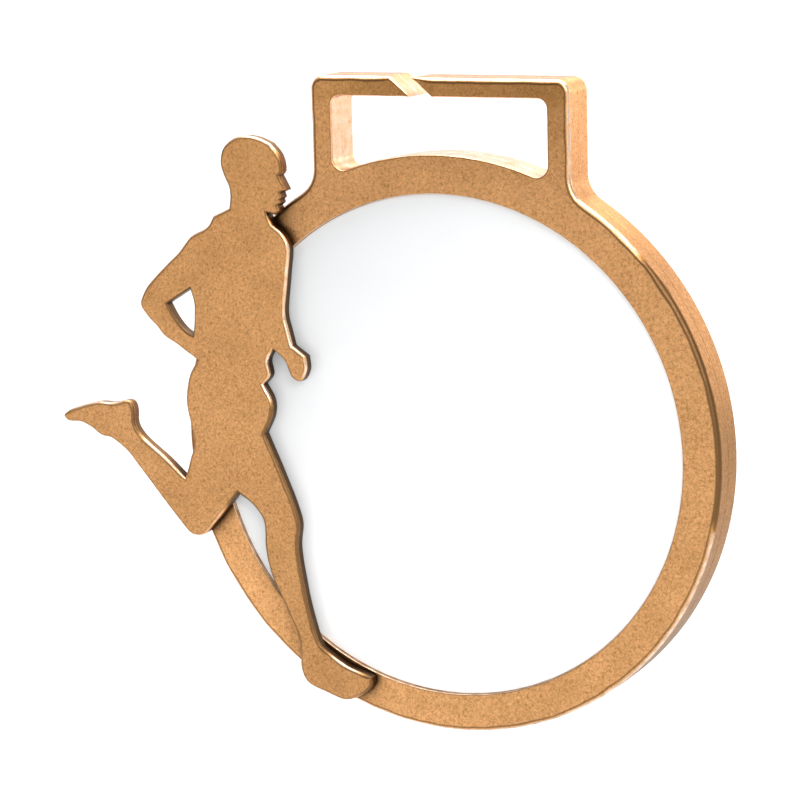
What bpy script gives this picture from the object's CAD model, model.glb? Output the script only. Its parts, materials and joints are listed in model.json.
"""Looks of the finisher medal: fine meshes, bronze and white materials, studio and camera.

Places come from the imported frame. MM turns the millimetres written here into metres.
"""

import json
import math

import bmesh
import bpy
import numpy as np
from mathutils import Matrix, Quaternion, Vector, noise
from mathutils.geometry import tessellate_polygon


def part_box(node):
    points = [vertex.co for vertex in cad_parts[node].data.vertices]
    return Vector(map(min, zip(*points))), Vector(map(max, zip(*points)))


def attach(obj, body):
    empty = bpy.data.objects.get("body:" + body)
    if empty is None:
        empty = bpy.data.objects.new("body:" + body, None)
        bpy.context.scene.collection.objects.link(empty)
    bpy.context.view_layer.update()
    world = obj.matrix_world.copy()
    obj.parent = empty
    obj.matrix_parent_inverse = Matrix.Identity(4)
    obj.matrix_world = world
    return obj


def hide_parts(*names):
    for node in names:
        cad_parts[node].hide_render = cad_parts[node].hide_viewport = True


MM = 0.001

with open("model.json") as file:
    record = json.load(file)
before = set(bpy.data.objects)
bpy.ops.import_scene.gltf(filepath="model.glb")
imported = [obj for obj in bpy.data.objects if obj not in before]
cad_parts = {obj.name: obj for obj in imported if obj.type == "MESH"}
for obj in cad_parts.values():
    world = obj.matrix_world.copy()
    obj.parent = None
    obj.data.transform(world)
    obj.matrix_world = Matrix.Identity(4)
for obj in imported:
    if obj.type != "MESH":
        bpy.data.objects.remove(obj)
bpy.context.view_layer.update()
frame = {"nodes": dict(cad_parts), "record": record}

# Places read from the frame
RING_LOW, RING_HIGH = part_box("ring_frame")
FIGURE_LOW, FIGURE_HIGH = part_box("runner_figure")
INSERT_LOW, INSERT_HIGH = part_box("insert_disc")
PLATE_LOW, PLATE_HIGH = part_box("back_plate")
CENTRE = (INSERT_LOW + INSERT_HIGH) / 2
FRONT_Y = RING_LOW.y
BACK_Y = RING_HIGH.y
SHELF_FRONT_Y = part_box("insert_tape")[1].y + 0.1 * MM
SHELF_BACK_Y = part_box("back_tape")[0].y - 0.3 * MM

# Edges, in metres
OUTER_ROUND = 0.6 * MM
SLOT_ROUND = 0.2 * MM
BORE_ROUND = 0.12 * MM
BACK_ROUND = 0.2 * MM
FIGURE_ROUND = 0.36 * MM
WINDOW_ROUND = 0.24 * MM
FIGURE_BACK_ROUND = 0.08 * MM
PARTING_RIDGE = 0.025 * MM
CONTACT = 0.01 * MM
ROUND_STEPS = 6
FLAT_MARGIN = 0.04 * MM
LONGEST_EDGE = 0.5 * MM
SHELF_WIDTH = 2.3 * MM
DISC_RECESS = 0.4 * MM

# Wear: 1 is rubbed bright, and -1 is tarnished
RIM_TARNISH = (-13.0, 42.0)
BORE_RUB = 0.75
WALL_DULL = -1.0
HEAD_BASE = 23.3 * MM
FRONT_LEG_LEFT = -26 * MM
FRONT_LEG_TOP = 4 * MM
FRONT_LEG_LOW = -23.6 * MM
HEEL_X = (-38 * MM, -35.5 * MM)
HEEL_LOW = -1 * MM
TOE_X = -10 * MM
TOE_TOP = -25.4 * MM

# Bronze finish
BRONZE = (0.68, 0.357, 0.147)
PLATE_BRONZE = (0.70, 0.40, 0.19)
GRAIN_SCALE = 3700.0
GRAIN_DEPTH = 0.02 * MM
SMOOTHEST = 0.36
ROUGHEST = 0.50
DIRT_REACH = 3.2 * MM

# Camera
AZIMUTH = math.radians(26.58)
ELEVATION = math.radians(10.92)
ROLL = math.radians(-1.53)
DISTANCE = 305.7 * MM
AIM_FROM_CENTRE = Vector((-4.35, -1.08, 5.07)) * MM
LENS = 130.5


# ---------------------------------------------------------------- outlines

def section(node, y):
    """Closed (x, z) outlines where the plane at y cuts a CAD node, largest first."""
    bm = bmesh.new()
    bm.from_mesh(frame["nodes"][node].data)
    bmesh.ops.remove_doubles(bm, verts=bm.verts, dist=1e-6)
    geometry = bm.verts[:] + bm.edges[:] + bm.faces[:]
    cut = bmesh.ops.bisect_plane(bm, geom=geometry, dist=1e-7, plane_co=(0, y, 0), plane_no=(0, 1, 0))
    links = {}
    for item in cut["geom_cut"]:
        if isinstance(item, bmesh.types.BMEdge):
            a, b = item.verts
            links.setdefault(a, []).append(b)
            links.setdefault(b, []).append(a)
    loops = []
    while links:
        start = min(links, key=lambda v: (v.co.x, v.co.z))
        loop = [start]
        while True:
            nearby = [v for v in links.pop(loop[-1]) if v in links]
            if not nearby:
                break
            loop.append(nearby[0])
        loops.append(np.array([(v.co.x, v.co.z) for v in loop]))
    bm.free()
    loops = [straightened(loop) for loop in loops]
    loops.sort(key=lambda loop: -abs(area(loop)))
    return [loop if area(loop) > 0 else loop[::-1] for loop in loops]


def area(loop):
    """Signed area: positive when the outline runs anticlockwise, seen from the front."""
    x, z = loop[:, 0], loop[:, 1]
    return 0.5 * float(np.dot(x, np.roll(z, -1)) - np.dot(z, np.roll(x, -1)))


def turns(loop):
    """Angle by which the outline turns at each point."""
    ahead = np.roll(loop, -1, axis=0) - loop
    behind = loop - np.roll(loop, 1, axis=0)
    cross = behind[:, 0] * ahead[:, 1] - behind[:, 1] * ahead[:, 0]
    dot = (behind * ahead).sum(axis=1)
    return np.arctan2(cross, dot)


def straightened(loop):
    """The outline without the points that lie on a straight stretch."""
    gaps = np.linalg.norm(np.roll(loop, -1, axis=0) - loop, axis=1)
    loop = loop[gaps > 0.002 * MM]
    return loop[np.abs(turns(loop)) > math.radians(0.4)]


def divided(loop, radii=()):
    """The outline with long edges divided, and points on the given circles put back on them."""
    centre = np.array((CENTRE.x, CENTRE.z))
    points = []
    for a, b in zip(loop, np.roll(loop, -1, axis=0)):
        pieces = max(1, math.ceil(np.linalg.norm(b - a) / LONGEST_EDGE))
        ends = [np.linalg.norm(p - centre) for p in (a, b)]
        circle = [r for r in radii if all(abs(end - r) < 0.02 * MM for end in ends)]
        for k in range(pieces):
            point = a + (b - a) * k / pieces
            if circle:
                point = centre + (point - centre) * circle[0] / np.linalg.norm(point - centre)
            points.append(point)
    return np.array(points)


def outward(loop):
    """Mitred unit normals, pointing out of an anticlockwise outline."""
    ahead = np.roll(loop, -1, axis=0) - loop
    ahead /= np.linalg.norm(ahead, axis=1, keepdims=True)
    behind = np.roll(ahead, 1, axis=0)
    tangent = ahead + behind
    tangent /= np.linalg.norm(tangent, axis=1, keepdims=True)
    normal = np.stack((tangent[:, 1], -tangent[:, 0]), axis=1)
    lean = (tangent * ahead).sum(axis=1, keepdims=True)
    return normal / np.clip(lean, 0.75, 1.0)


def limited(loop, radius, room=0.8, slope=0.5):
    """The radius, cut back where the outline is too narrow for it, with gradual changes."""
    offset = loop[None, :, :] - loop[:, None, :]
    inward = -outward(loop)
    reach = (offset * inward[:, None, :]).sum(axis=2)
    square = (offset ** 2).sum(axis=2)
    ball = np.where(reach > 1e-3 * np.sqrt(square) + 1e-9, square / (2 * np.maximum(reach, 1e-9)), np.inf)
    radius = np.minimum(radius, room * ball.min(axis=1) - FLAT_MARGIN)
    radius = np.maximum(radius, 0.02 * MM)
    return (radius[None, :] + slope * np.sqrt(square)).min(axis=1)


def wobble(loop, size, seed):
    """Slow random variation along an outline, from -1 to 1."""
    return np.array([noise.noise(Vector((x / size, seed, z / size))) for x, z in loop])


# ---------------------------------------------------------------- meshes

class Shell:
    """Collects a mesh that is made of outlines at different depths."""

    def __init__(self):
        self.points = []
        self.wear = []
        self.faces = []

    def ring(self, loop, y, wear=0.0):
        """Add an outline at depth y, and return the numbers of its points."""
        first = len(self.points)
        depth = np.broadcast_to(np.asarray(y, dtype=float), (len(loop),))
        self.points += [(p[0], d, p[1]) for p, d in zip(loop, depth)]
        self.wear += list(np.broadcast_to(np.asarray(wear, dtype=float), (len(loop),)))
        return list(range(first, first + len(loop)))

    def strip(self, a, b):
        """Join two outlines with a band of quads. Their order sets which way it faces."""
        for i in range(len(a)):
            j = (i + 1) % len(a)
            self.faces.append((a[i], a[j], b[j], b[i]))

    def cap(self, rings, front):
        """Fill a flat face that is bounded by the first ring and pierced by the others."""
        numbers = [n for ring in rings for n in ring]
        lines = [[Vector((self.points[n][0], self.points[n][2], 0)) for n in ring] for ring in rings]
        for triangle in tessellate_polygon(lines):
            a, b, c = (numbers[i] for i in triangle)
            pa, pb, pc = (self.points[n] for n in (a, b, c))
            turn = (pb[0] - pa[0]) * (pc[2] - pa[2]) - (pb[2] - pa[2]) * (pc[0] - pa[0])
            self.faces.append((a, b, c) if (turn > 0) == front else (a, c, b))

    def make(self, name, smooth_angle=35):
        """Make the object, with its wear stored for the material."""
        mesh = bpy.data.meshes.new(name)
        mesh.from_pydata(self.points, [], self.faces)
        mesh.update()
        wear = mesh.attributes.new("wear", "FLOAT", "POINT")
        wear.data.foreach_set("value", np.array(self.wear, dtype=np.float32))
        mesh.shade_smooth()
        mesh.set_sharp_from_angle(angle=math.radians(smooth_angle))
        obj = bpy.data.objects.new(name, mesh)
        bpy.context.scene.collection.objects.link(obj)
        return obj


def wall(shell, loop, levels, hole=False):
    """Bands between levels of (y, inset, wear) from front to back. Returns the first and last ring."""
    normal = outward(loop)
    rings = []
    for y, inset, wear in levels:
        offset = np.asarray(inset, dtype=float).reshape(-1, 1) * normal
        rings.append(shell.ring(loop + offset if hole else loop - offset, y, wear))
    for a, b in zip(rings, rings[1:]):
        if hole:
            shell.strip(a, b)
        else:
            shell.strip(b, a)
    return rings[0], rings[-1]


def edge_wear(angle, dull, rub):
    """Wear round an edge: below 0 in the dull line beside the flat, then as bright as rub says.

    Where rub is below 0, the whole edge is tarnished.
    """
    if angle < dull:
        wear = -math.sin(math.pi * angle / dull)
    else:
        wear = math.sin(math.pi * (angle - dull) / (math.pi / 2 - dull)) ** 0.6 * np.maximum(rub, 0)
    tarnish = rub * max(0.0, math.sin(2 * angle)) ** 0.25
    return np.where(np.asarray(rub) < 0, np.minimum(wear, tarnish), wear)


def rounding(y, radius, into, dull=math.radians(30), rub=1.0):
    """Levels of a rounded edge at depth y. into is 1 for a front edge, and -1 for a back one.

    rub says how rubbed the edge is along the outline: 1 is bright, and below 0 is tarnished.
    """
    levels = [(y, radius + FLAT_MARGIN, 0.0)]
    for k in range(ROUND_STEPS + 1):
        angle = math.pi / 2 * k / ROUND_STEPS
        levels.append((y + into * radius * (1 - math.cos(angle)), radius * (1 - math.sin(angle)),
                       edge_wear(angle, dull, rub)))
    levels.append((y + into * (radius + FLAT_MARGIN), 0.0, 0.0))
    return levels if into > 0 else levels[::-1]


def blind_hole(shell, loop, mouth_y, floor_y, from_front):
    """A round hole with a flat floor. Returns the ring of its mouth."""
    levels = [(mouth_y, 0.0, 0.0), (floor_y, 0.0, 0.0)]
    if from_front:
        mouth, floor = wall(shell, loop, levels, hole=True)
    else:
        floor, mouth = wall(shell, loop, levels[::-1], hole=True)
    shell.cap([floor], front=from_front)
    return mouth


def slot_mask(loop):
    """1 on the outline's points inside the ribbon slot and the split, 0 outside, softly blended."""
    slot = frame["record"]["physics"]["openings"][0]["box_m"]
    half = slot[1][0] + 1.2 * MM
    low = slot[0][2] - 2.6 * MM
    top = RING_HIGH.z - 0.25 * MM
    mask = ((np.abs(loop[:, 0]) < half) & (loop[:, 1] > low) & (loop[:, 1] < top)).astype(float)
    return softened(mask)


def edge_radius(loop):
    """Front edge radius round the ring's outline: wide outside, fine in the slot and the split."""
    inside = slot_mask(loop)
    radius = inside * SLOT_ROUND + (1 - inside) * OUTER_ROUND
    return radius * (1 + 0.22 * wobble(loop, 2.2 * MM, 3.0))


def softened(values, times=3):
    """Values along a closed outline, blended with their neighbours."""
    for _ in range(times):
        values = (np.roll(values, 1) + values + np.roll(values, -1)) / 3
    return values


def rim_rub(outline):
    """Rubbing round the ring's outline: bright, but tarnished on the right-hand side."""
    x, z = outline[:, 0] - CENTRE.x, outline[:, 1] - CENTRE.z
    angle = np.degrees(np.arctan2(z, x)) + 3.0 * wobble(outline, 3.0 * MM, 21.0)
    tarnished = (angle > RIM_TARNISH[0]) & (angle < RIM_TARNISH[1])
    return softened(np.where(tarnished, -1.0, 1.0))


def runner_rub(outline):
    """Rubbing round the runner: bright facing up and right, dull on head side, front leg and heel."""
    normal = outward(outline)
    x, z = outline[:, 0] - CENTRE.x, outline[:, 1] - CENTRE.z
    facing = 0.8 * normal[:, 0] + 0.6 * normal[:, 1]
    rub = np.clip(0.2 + 1.6 * facing, -0.4, 1.0)
    head_side = (z > HEAD_BASE) & (normal[:, 1] < 0.62)
    leg = (x > FRONT_LEG_LEFT) & (z < FRONT_LEG_TOP) & (z > FRONT_LEG_LOW)
    heel = (x < HEEL_X[1]) & (facing > 0) & (z > HEEL_LOW) & (x > HEEL_X[0])
    toe = (x > TOE_X) & (z < TOE_TOP)
    return softened(np.where(head_side | leg | heel | toe, -0.9, rub), 2)


def make_ring():
    """Ring and loop: rounded edges, a faint parting line, the stepped bore and the pin holes."""
    loops = section("ring_frame", FRONT_Y + 1.0 * MM)
    ring_radius = (RING_HIGH.x - RING_LOW.x) / 2
    outline = divided(loops[0], [ring_radius])
    bore_radius = float(np.linalg.norm(loops[1] - np.array((CENTRE.x, CENTRE.z)), axis=1).max())
    bore = divided(loops[1], [bore_radius])
    shell = Shell()
    middle = (FRONT_Y + BACK_Y) / 2
    radius = limited(outline, edge_radius(outline))
    rubbed = 0.7 * slot_mask(outline)
    levels = rounding(FRONT_Y, radius, 1, rub=rim_rub(outline))[:-1]
    levels += [(FRONT_Y + radius + FLAT_MARGIN, 0.0, rubbed),
               (middle - 0.16 * MM, 0.0, rubbed), (middle - 0.1 * MM, 0.0, rubbed),
               (middle - 0.04 * MM, -PARTING_RIDGE, rubbed),
               (middle + 0.04 * MM, -PARTING_RIDGE, rubbed),
               (middle + 0.1 * MM, 0.0, rubbed), (middle + 0.16 * MM, 0.0, rubbed),
               (BACK_Y - BACK_ROUND - FLAT_MARGIN, 0.0, rubbed)]
    levels += rounding(BACK_Y, BACK_ROUND, -1)[1:]
    levels = [(y, inset + PARTING_RIDGE, wear) for y, inset, wear in levels]
    front_ring, back_ring = wall(shell, outline, levels)
    bore_levels = rounding(FRONT_Y, BORE_ROUND * (1 + 0.3 * wobble(bore, 1.6 * MM, 8.0)), 1)
    bore_levels[-1] = (*bore_levels[-1][:2], BORE_RUB)
    bore_levels += [(SHELF_FRONT_Y, 0.0, BORE_RUB), (SHELF_FRONT_Y, -SHELF_WIDTH, 0.0),
                    (SHELF_BACK_Y, -SHELF_WIDTH, 0.0), (SHELF_BACK_Y, 0.0, 0.0)]
    bore_levels += rounding(BACK_Y, BORE_ROUND, -1)
    bore_front, bore_back = wall(shell, bore, bore_levels, hole=True)
    mouths = [blind_hole(shell, hole, FRONT_Y, FRONT_Y + 1.9 * MM, True) for hole in loops[2:]]
    shell.cap([front_ring, bore_front] + mouths, front=True)
    shell.cap([back_ring, bore_back], front=False)
    return shell.make("ring_casting")


def make_figure():
    """Runner: a plate with softly rounded front edges, down to the ring's front face."""
    loops = section("runner_figure", FIGURE_HIGH.y - 0.2 * MM)
    shell = Shell()
    back = FRONT_Y - CONTACT
    front_rings = []
    back_rings = []
    for number, loop in enumerate(loops[:2]):
        loop = divided(loop)
        radius = WINDOW_ROUND if number else FIGURE_ROUND
        radius = radius * (1 + 0.25 * wobble(loop, 1.3 * MM, 5.0 + number))
        if number == 0:
            radius = limited(loop, radius)
        rub = WALL_DULL if number else runner_rub(loop)
        levels = rounding(FIGURE_LOW.y, radius, 1, math.radians(18), rub)
        levels += rounding(back, FIGURE_BACK_ROUND, -1, rub=-1.0)
        sides = ROUND_STEPS + 2
        levels[sides:sides + 2] = [(y, inset, WALL_DULL) for y, inset, _ in levels[sides:sides + 2]]
        first, last = wall(shell, loop, levels, hole=number > 0)
        front_rings.append(first)
        back_rings.append(last)
    floor = FIGURE_HIGH.y - 0.55 * MM
    back_rings += [blind_hole(shell, hole, back, floor, False) for hole in loops[2:]]
    shell.cap(front_rings, front=True)
    shell.cap(back_rings, front=False)
    return shell.make("runner_casting")


def make_turned(name, profile, steps=192):
    """Turn (radius, y, wear) points about the medal's axis, and fill both ends."""
    shell = Shell()
    angles = np.linspace(0, math.tau, steps, endpoint=False)
    circle = np.stack((np.cos(angles), np.sin(angles)), axis=1)
    centre = np.array((CENTRE.x, CENTRE.z))
    rings = [shell.ring(centre + circle * radius, y, wear) for radius, y, wear in profile]
    for a, b in zip(rings, rings[1:]):
        shell.strip(b, a)
    shell.cap([rings[0]], front=True)
    shell.cap([rings[-1]], front=False)
    return shell.make(name)


def make_insert(bore_radius):
    """Blank disc: very slightly crowned, with a rolled edge that meets the bore."""
    crown = 0.06 * MM
    edge = 0.15 * MM
    face = FRONT_Y + DISC_RECESS
    outer = bore_radius - CONTACT
    flat = outer - edge
    profile = [(flat * s, face + crown * s * s, 0.0) for s in (0.04, 0.2, 0.4, 0.6, 0.8, 1.0)]
    for k in range(1, ROUND_STEPS + 1):
        angle = math.pi / 2 * k / ROUND_STEPS
        profile.append((flat + edge * math.sin(angle),
                        face + crown + edge * (1 - math.cos(angle)), math.sin(angle)))
    profile += [(outer, INSERT_HIGH.y, 0.0)]
    return make_turned("blank_disc", profile)


def make_back_plate(bore_radius):
    """Plain rear disc with a turned step near its rim."""
    outer = bore_radius - 0.1 * MM
    step = 1.6 * MM
    depth = 0.12 * MM
    profile = [(outer - 0.1 * MM, PLATE_LOW.y, 0.0), (outer, PLATE_LOW.y + 0.1 * MM, 0.0)]
    profile += [(outer, PLATE_HIGH.y - 0.12 * MM, 0.4), (outer - 0.04 * MM, PLATE_HIGH.y - 0.04 * MM, 0.8),
                (outer - 0.14 * MM, PLATE_HIGH.y, 0.5), (outer - step, PLATE_HIGH.y, 0.3),
                (outer - step - 0.1 * MM, PLATE_HIGH.y - 0.03 * MM, 0.8),
                (outer - step - 0.2 * MM, PLATE_HIGH.y - depth, 0.2),
                (outer - step - 0.4 * MM, PLATE_HIGH.y - depth, 0.0)]
    return make_turned("rear_disc", profile)


# ---------------------------------------------------------------- materials

def new_material(name):
    """A node material with its Principled shader."""
    material = bpy.data.materials.new(name)
    material.use_nodes = True
    return material, material.node_tree, material.node_tree.nodes["Principled BSDF"]


def add(tree, kind, **settings):
    """Add a node. Settings name its properties, or its inputs by their labels."""
    node = tree.nodes.new(kind)
    for key, value in settings.items():
        if key in node.bl_rna.properties:
            setattr(node, key, value)
        else:
            node.inputs[key.replace("_", " ")].default_value = value
    return node


def noise_texture(tree, coordinates, scale, detail=2.0, roughness=0.5, distortion=0.0):
    """Noise in the object's own space."""
    node = add(tree, "ShaderNodeTexNoise", Scale=scale, Detail=detail, Roughness=roughness,
               Distortion=distortion)
    tree.links.new(coordinates, node.inputs["Vector"])
    return node.outputs["Fac"]


def ramp(tree, value, stops):
    """Colour ramp through (position, colour) stops."""
    node = tree.nodes.new("ShaderNodeValToRGB")
    elements = node.color_ramp.elements
    while len(elements) < len(stops):
        elements.new(0.5)
    for element, (position, colour) in zip(elements, stops):
        element.position = position
        element.color = (*colour, 1.0) if len(colour) == 3 else colour
    tree.links.new(value, node.inputs["Fac"])
    return node.outputs["Color"]


def mix(tree, factor, a, b, blend="MIX"):
    """Mix two colours. Each may be a socket or a colour, and the factor a socket or a number."""
    node = tree.nodes.new("ShaderNodeMix")
    node.data_type = "RGBA"
    node.blend_type = blend
    node.clamp_result = False
    for socket, value in ((node.inputs[0], factor), (node.inputs[6], a), (node.inputs[7], b)):
        if isinstance(value, bpy.types.NodeSocket):
            tree.links.new(value, socket)
        elif isinstance(value, tuple):
            socket.default_value = (*value, 1.0)
        else:
            socket.default_value = value
    return node.outputs[2]


def map_range(tree, value, from_low, from_high, to_low, to_high):
    """Map a value from one range to another, clamped."""
    node = tree.nodes.new("ShaderNodeMapRange")
    tree.links.new(value, node.inputs["Value"])
    for label, number in (("From Min", from_low), ("From Max", from_high), ("To Min", to_low),
                          ("To Max", to_high)):
        node.inputs[label].default_value = number
    return node.outputs["Result"]


def bump(tree, height, strength, distance, normal=None):
    """Bump from a height, on top of another bump if one is given."""
    node = add(tree, "ShaderNodeBump", Strength=strength, Distance=distance)
    tree.links.new(height, node.inputs["Height"])
    if normal:
        tree.links.new(normal, node.inputs["Normal"])
    return node.outputs["Normal"]


def multiply(tree, a, b):
    """Product of two values. The second may be a number."""
    node = tree.nodes.new("ShaderNodeMath")
    node.operation = "MULTIPLY"
    tree.links.new(a, node.inputs[0])
    if isinstance(b, bpy.types.NodeSocket):
        tree.links.new(b, node.inputs[1])
    else:
        node.inputs[1].default_value = b
    return node.outputs[0]


def runner_tone(tree, place):
    """Tone of the runner's plating, a little lighter towards the head."""
    split = tree.nodes.new("ShaderNodeSeparateXYZ")
    tree.links.new(place, split.inputs[0])
    height = map_range(tree, split.outputs["Z"], CENTRE.z - 27 * MM, CENTRE.z + 28 * MM, 0.0, 1.0)
    return ramp(tree, height, [(0.0, (0.81, 0.80, 0.77)), (0.5, (1.02, 1.02, 1.02)),
                               (1.0, (1.09, 1.08, 1.04))])


def ring_tone(tree, place):
    """Tone of the ring's plating: darker on the loop's right, lighter round the lower left."""
    split = tree.nodes.new("ShaderNodeSeparateXYZ")
    tree.links.new(place, split.inputs[0])
    loop_base = CENTRE.z + 27 * MM
    upper = map_range(tree, split.outputs["Z"], loop_base, loop_base + 10 * MM, 0.0, 1.0)
    rightward = map_range(tree, split.outputs["X"], CENTRE.x - 15 * MM, CENTRE.x + 8 * MM, 0.0, 1.0)
    loop = ramp(tree, rightward, [(0.0, (1.16, 1.14, 1.10)), (0.5, (0.88, 0.85, 0.78)),
                                  (1.0, (0.78, 0.74, 0.66))])
    left = map_range(tree, split.outputs["X"], CENTRE.x - 30 * MM, CENTRE.x + 6 * MM, 1.0, 0.0)
    low = map_range(tree, split.outputs["Z"], CENTRE.z - 14 * MM, CENTRE.z + 12 * MM, 1.0, 0.0)
    rise = map_range(tree, split.outputs["Z"], CENTRE.z - 10 * MM, CENTRE.z + 20 * MM, 0.0, 1.0)
    tone = mix(tree, rise, (0.97, 0.97, 0.97), (1.08, 1.08, 1.09))
    bar = map_range(tree, split.outputs["Z"], CENTRE.z + 35.5 * MM, CENTRE.z + 37 * MM, 0.0, 1.0)
    loop = mix(tree, 1.0, loop, mix(tree, bar, (1.0, 1.0, 1.0), (0.86, 0.85, 0.78)), "MULTIPLY")
    tone = mix(tree, upper, tone, loop)
    tone = mix(tree, multiply(tree, left, low), tone, (1.22, 1.22, 1.24))
    normal = tree.nodes.new("ShaderNodeSeparateXYZ")
    tree.links.new(tree.nodes.new("ShaderNodeTexCoord").outputs["Normal"], normal.inputs[0])
    front = map_range(tree, normal.outputs["Y"], -0.95, -0.6, 1.0, 0.0)
    height = map_range(tree, split.outputs["Z"], CENTRE.z, CENTRE.z + 34 * MM, 0.0, 1.0)
    sides = ramp(tree, height, [(0.0, (0.51, 0.44, 0.215)), (0.6, (0.86, 0.76, 0.57)),
                                (1.0, (1.23, 1.11, 1.02))])
    return mix(tree, front, sides, tone)


def bronze(name, base, tone_map):
    """Satin bronze plating: fine mottled grain, slow tone changes and brighter worn edges."""
    material, tree, shader = new_material(name)
    place = tree.nodes.new("ShaderNodeTexCoord").outputs["Object"]
    grain = noise_texture(tree, place, GRAIN_SCALE, detail=2.5, roughness=0.6, distortion=0.9)
    fine = noise_texture(tree, place, GRAIN_SCALE * 3.1, detail=1.0)
    patches = noise_texture(tree, place, 190.0, detail=3.0, roughness=0.55)
    dark = tuple(c * f for c, f in zip(base, (0.66, 0.60, 0.50)))
    light = tuple(min(1.0, c * f) for c, f in zip(base, (1.22, 1.24, 1.30)))
    tone = ramp(tree, grain, [(0.30, dark), (0.50, base), (0.70, light)])
    slow = ramp(tree, patches, [(0.30, (0.90, 0.89, 0.86)), (0.70, (1.06, 1.06, 1.07))])
    tone = mix(tree, 1.0, tone, slow, "MULTIPLY")
    tone = mix(tree, 1.0, tone, tone_map(tree, place), "MULTIPLY")
    wear = add(tree, "ShaderNodeAttribute", attribute_name="wear").outputs["Fac"]
    spots = map_range(tree, noise_texture(tree, place, 900.0, detail=3.0), 0.35, 0.65, 0.4, 1.0)
    worn = multiply(tree, map_range(tree, wear, 0.0, 1.0, 0.0, 1.0), spots)
    polished = tuple(min(1.0, c * f) for c, f in zip(base, (1.45, 2.2, 4.2)))
    shadowed = tuple(c * 0.22 for c in base)
    tone = mix(tree, multiply(tree, worn, 0.85), tone, polished)
    dull = map_range(tree, wear, -1.0, 0.0, 1.0, 0.0)
    tone = mix(tree, multiply(tree, dull, 0.95), tone, shadowed)
    facing = add(tree, "ShaderNodeLayerWeight", Blend=0.5).outputs["Facing"]
    tone = mix(tree, map_range(tree, facing, 0.75, 0.95, 0.0, 0.9), tone, shadowed)
    hollow = add(tree, "ShaderNodeAmbientOcclusion", samples=8, Distance=DIRT_REACH).outputs["AO"]
    dirt = multiply(tree, map_range(tree, hollow, 0.5, 0.95, 0.97, 0.0),
                    map_range(tree, wear, 0.0, 0.5, 1.0, 0.0))
    tone = mix(tree, dirt, tone, tuple(c * 0.06 for c in base))
    tree.links.new(tone, shader.inputs["Base Color"])
    roughness = map_range(tree, grain, 0.3, 0.7, ROUGHEST, SMOOTHEST)
    smoother = tree.nodes.new("ShaderNodeMath")
    smoother.operation = "MULTIPLY_ADD"
    smoother.inputs[1].default_value = -0.2
    tree.links.new(worn, smoother.inputs[0])
    tree.links.new(roughness, smoother.inputs[2])
    tree.links.new(smoother.outputs[0], shader.inputs["Roughness"])
    shader.inputs["Metallic"].default_value = 1.0
    normal = bump(tree, grain, 0.55, GRAIN_DEPTH)
    normal = bump(tree, fine, 0.35, GRAIN_DEPTH * 0.4, normal)
    tree.links.new(normal, shader.inputs["Normal"])
    return material


def white_blank(name):
    """Glossy white blank, a little greyer towards its upper left, with faint orange peel.

    Its slight glow stands for light that scatters inside it.
    """
    material, tree, shader = new_material(name)
    place = tree.nodes.new("ShaderNodeTexCoord").outputs["Object"]
    split = tree.nodes.new("ShaderNodeSeparateXYZ")
    tree.links.new(place, split.inputs[0])
    slope = tree.nodes.new("ShaderNodeMath")
    slope.operation = "SUBTRACT"
    tree.links.new(split.outputs["X"], slope.inputs[0])
    tree.links.new(split.outputs["Z"], slope.inputs[1])
    across = map_range(tree, slope.outputs[0], -CENTRE.z - 34 * MM, -CENTRE.z + 20 * MM, 0.0, 1.0)
    tone = ramp(tree, across, [(0.0, (0.60, 0.615, 0.62)), (0.45, (0.75, 0.755, 0.76)),
                               (1.0, (0.95, 0.95, 0.95))])
    cloud = ramp(tree, noise_texture(tree, place, 120.0, detail=2.0),
                 [(0.3, (0.985, 0.985, 0.99)), (0.7, (1.0, 1.0, 1.0))])
    tree.links.new(mix(tree, 1.0, tone, cloud, "MULTIPLY"), shader.inputs["Base Color"])
    rough = map_range(tree, noise_texture(tree, place, 700.0, detail=3.0), 0.3, 0.7, 0.16, 0.26)
    tree.links.new(rough, shader.inputs["Roughness"])
    shader.inputs["Emission Color"].default_value = (1.0, 1.0, 1.0, 1.0)
    shader.inputs["Emission Strength"].default_value = 0.16
    shader.inputs["Coat Weight"].default_value = 0.4
    shader.inputs["Coat Roughness"].default_value = 0.08
    peel = noise_texture(tree, place, 420.0, detail=1.0)
    tree.links.new(bump(tree, peel, 0.12, 0.01 * MM), shader.inputs["Normal"])
    return material


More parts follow.
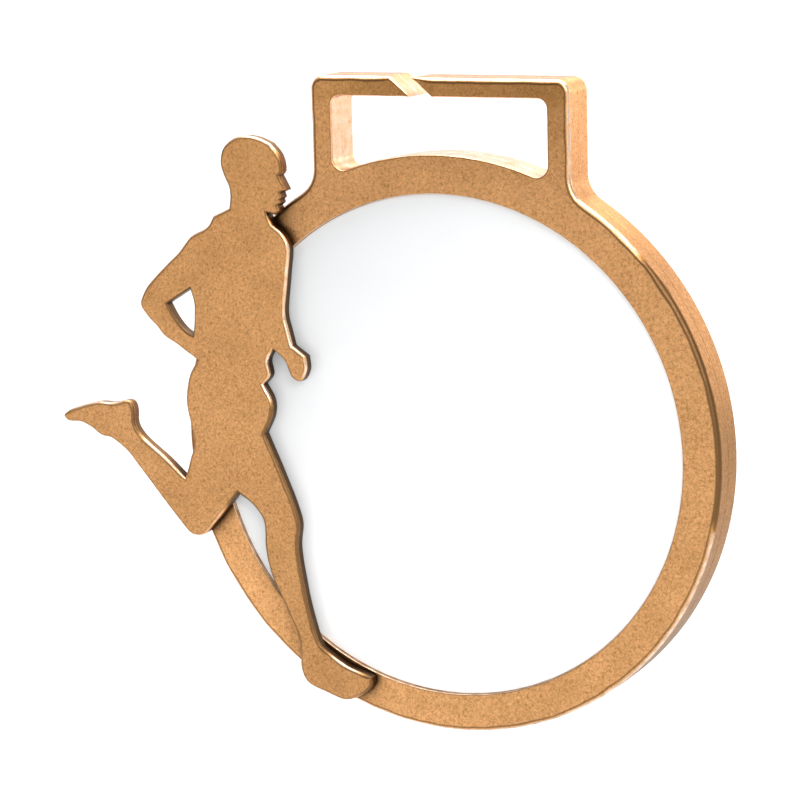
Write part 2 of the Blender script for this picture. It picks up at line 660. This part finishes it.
def turned_bronze(name, base):
    """Bronze sheet with fine lines turned round the medal's axis."""
    material, tree, shader = new_material(name)
    place = tree.nodes.new("ShaderNodeTexCoord").outputs["Object"]
    moved = add(tree, "ShaderNodeVectorMath", operation="SUBTRACT")
    tree.links.new(place, moved.inputs[0])
    moved.inputs[1].default_value = CENTRE
    flat = add(tree, "ShaderNodeVectorMath", operation="MULTIPLY")
    tree.links.new(moved.outputs[0], flat.inputs[0])
    flat.inputs[1].default_value = (1.0, 0.0, 1.0)
    length = add(tree, "ShaderNodeVectorMath", operation="LENGTH")
    tree.links.new(flat.outputs[0], length.inputs[0])
    radial = tree.nodes.new("ShaderNodeCombineXYZ")
    tree.links.new(length.outputs["Value"], radial.inputs[0])
    lines = noise_texture(tree, radial.outputs[0], 5200.0, detail=3.0, roughness=0.7)
    patches = noise_texture(tree, place, 160.0, detail=4.0)
    dark = tuple(c * 0.78 for c in base)
    light = tuple(min(1.0, c * 1.12) for c in base)
    tone = ramp(tree, lines, [(0.3, dark), (0.7, light)])
    slow = ramp(tree, patches, [(0.3, (0.88, 0.87, 0.85)), (0.7, (1.05, 1.05, 1.05))])
    tree.links.new(mix(tree, 1.0, tone, slow, "MULTIPLY"), shader.inputs["Base Color"])
    tree.links.new(map_range(tree, patches, 0.3, 0.7, 0.44, 0.34), shader.inputs["Roughness"])
    shader.inputs["Metallic"].default_value = 1.0
    tree.links.new(bump(tree, lines, 0.3, 0.01 * MM), shader.inputs["Normal"])
    return material


def plain_metal(name):
    """Drawn pin: fine scratches along its length."""
    material, tree, shader = new_material(name)
    place = tree.nodes.new("ShaderNodeTexCoord").outputs["Object"]
    stretch = add(tree, "ShaderNodeMapping")
    stretch.inputs["Scale"].default_value = (1.0, 0.08, 1.0)
    tree.links.new(place, stretch.inputs["Vector"])
    lines = noise_texture(tree, stretch.outputs[0], 9000.0, detail=2.0)
    tree.links.new(ramp(tree, lines, [(0.3, (0.42, 0.42, 0.44)), (0.7, (0.62, 0.62, 0.63))]),
                   shader.inputs["Base Color"])
    tree.links.new(map_range(tree, lines, 0.3, 0.7, 0.42, 0.28), shader.inputs["Roughness"])
    shader.inputs["Metallic"].default_value = 1.0
    tree.links.new(bump(tree, lines, 0.2, 0.005 * MM), shader.inputs["Normal"])
    return material


def tape(name):
    """Milky double-sided tape with fine bubbles."""
    material, tree, shader = new_material(name)
    place = tree.nodes.new("ShaderNodeTexCoord").outputs["Object"]
    bubbles = noise_texture(tree, place, 1800.0, detail=2.0)
    tree.links.new(ramp(tree, bubbles, [(0.35, (0.70, 0.70, 0.67)), (0.65, (0.84, 0.84, 0.82))]),
                   shader.inputs["Base Color"])
    tree.links.new(map_range(tree, bubbles, 0.3, 0.7, 0.5, 0.7), shader.inputs["Roughness"])
    tree.links.new(bump(tree, bubbles, 0.3, 0.02 * MM), shader.inputs["Normal"])
    return material


def dress(obj, material):
    """Give an object one material."""
    obj.data.materials.clear()
    obj.data.materials.append(material)


# ---------------------------------------------------------------- studio

def make_floor():
    """Seamless pale sweep: a floor a little below the hanging medal, curving up behind it.

    The curve is backlit towards its top edge, so it runs into the white surroundings.
    """
    drop = 45 * MM
    size = 2.4
    bend = 0.2
    behind = 1.4
    low = RING_LOW.z - drop
    profile = [(-size, low), (behind, low)]
    for k in range(1, 17):
        angle = math.pi / 2 * k / 16
        profile.append((behind + bend * math.sin(angle), low + bend * (1 - math.cos(angle))))
    points = [(x, y, z) for y, z in profile for x in (-size, size)]
    faces = [(2 * i, 2 * i + 1, 2 * i + 3, 2 * i + 2) for i in range(len(profile) - 1)]
    mesh = bpy.data.meshes.new("studio_sweep")
    mesh.from_pydata(points, [], faces)
    mesh.shade_smooth()
    floor = bpy.data.objects.new("studio_sweep", mesh)
    bpy.context.scene.collection.objects.link(floor)
    material, tree, shader = new_material("sweep_white")
    shader.inputs["Base Color"].default_value = (0.64, 0.64, 0.64, 1.0)
    shader.inputs["Roughness"].default_value = 0.9
    split = tree.nodes.new("ShaderNodeSeparateXYZ")
    tree.links.new(tree.nodes.new("ShaderNodeTexCoord").outputs["Object"], split.inputs[0])
    backlit = map_range(tree, split.outputs["Z"], low, low + bend, 0.0, 1.2)
    tree.links.new(backlit, shader.inputs["Emission Strength"])
    shader.inputs["Emission Color"].default_value = (1.0, 1.0, 1.0, 1.0)
    dress(floor, material)


def area_light(name, place, target, size, power):
    """Soft white rectangular lamp at place, aimed at target."""
    data = bpy.data.lights.new(name, "AREA")
    data.shape = "RECTANGLE"
    data.size, data.size_y = size
    data.energy = power
    lamp = bpy.data.objects.new(name, data)
    lamp.location = place
    lamp.rotation_mode = "QUATERNION"
    lamp.rotation_quaternion = (Vector(target) - Vector(place)).to_track_quat("-Z", "Y")
    bpy.context.scene.collection.objects.link(lamp)


def make_world():
    """Studio surroundings: white behind, dim in front and to the sides, half bright above."""
    world = bpy.data.worlds.new("studio")
    bpy.context.scene.world = world
    world.use_nodes = True
    tree = world.node_tree
    background = tree.nodes["Background"]
    direction = tree.nodes.new("ShaderNodeTexCoord").outputs["Generated"]
    split = tree.nodes.new("ShaderNodeSeparateXYZ")
    tree.links.new(direction, split.inputs[0])
    behind = map_range(tree, split.outputs["Y"], 0.2, 0.7, 0.0, 1.0)
    above = map_range(tree, split.outputs["Z"], 0.45, 0.8, 0.0, 1.0)
    higher = map_range(tree, split.outputs["Z"], 0.05, 0.4, 0.0, 1.0)
    backdrop = mix(tree, higher, (2.6, 2.6, 2.6), (1.1, 1.1, 1.1))
    level = mix(tree, behind, (0.42, 0.42, 0.42), backdrop)
    level = mix(tree, above, level, (0.5, 0.5, 0.5))
    tree.links.new(level, background.inputs["Color"])
    background.inputs["Strength"].default_value = 1.0


def make_lights():
    """Overhead softbox, a broad fill from the right and a lamp on the sweep behind."""
    area_light("overhead", (0.0, -0.02, 0.72), (0, 0, -0.03), (0.95, 0.5), 8.0)
    area_light("right_fill", (0.85, -0.80, 0.58), (0, 0, -0.03), (0.8, 0.8), 10.0)
    area_light("sweep_wash", (-0.4, 1.3, 1.3), (-0.4, 1.5, -0.1), (2.4, 0.9), 37.0)


def make_camera():
    """Camera to the right of the medal's front and a little above it."""
    back = Vector((math.sin(AZIMUTH) * math.cos(ELEVATION), -math.cos(AZIMUTH) * math.cos(ELEVATION),
                   math.sin(ELEVATION)))
    data = bpy.data.cameras.new("camera")
    data.lens = LENS
    data.clip_start = 0.01
    camera = bpy.data.objects.new("camera", data)
    aim = Vector((CENTRE.x, FRONT_Y, CENTRE.z)) + AIM_FROM_CENTRE
    camera.location = aim + back * DISTANCE
    camera.rotation_mode = "QUATERNION"
    camera.rotation_quaternion = (-back).to_track_quat("-Z", "Y") @ Quaternion((0, 0, 1), ROLL)
    bpy.context.scene.collection.objects.link(camera)
    bpy.context.scene.camera = camera


def place(obj, node, slot):
    """Tie a fine piece to the frame: it rides on the root, stands for a node and names its finish."""
    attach(obj, "root")
    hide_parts(node)


def main():
    """Build the pieces, their materials and the studio."""
    make_camera()
    ring_bronze = bronze("ring_bronze", BRONZE, ring_tone)
    figure_bronze = bronze("figure_bronze", BRONZE, runner_tone)
    bore_radius = (INSERT_HIGH.x - INSERT_LOW.x) / 2 + 0.3 * MM
    ring = make_ring()
    figure = make_figure()
    insert = make_insert(bore_radius)
    plate = make_back_plate(bore_radius)
    dress(ring, ring_bronze)
    dress(figure, figure_bronze)
    dress(insert, white_blank("white_blank"))
    dress(plate, turned_bronze("turned_bronze", PLATE_BRONZE))
    place(ring, "ring_frame", "bronze_casting")
    place(figure, "runner_figure", "bronze_casting")
    place(insert, "insert_disc", "white_blank")
    place(plate, "back_plate", "bronze_plate")
    pin = plain_metal("drawn_pin")
    sticky = tape("double_sided_tape")
    for name, node in frame["nodes"].items():
        if name.startswith("figure_pin"):
            dress(node, pin)
        elif name.endswith("_tape"):
            dress(node, sticky)
    make_world()
    make_lights()
    make_floor()
    bpy.context.scene.view_settings.view_transform = "Standard"


main()
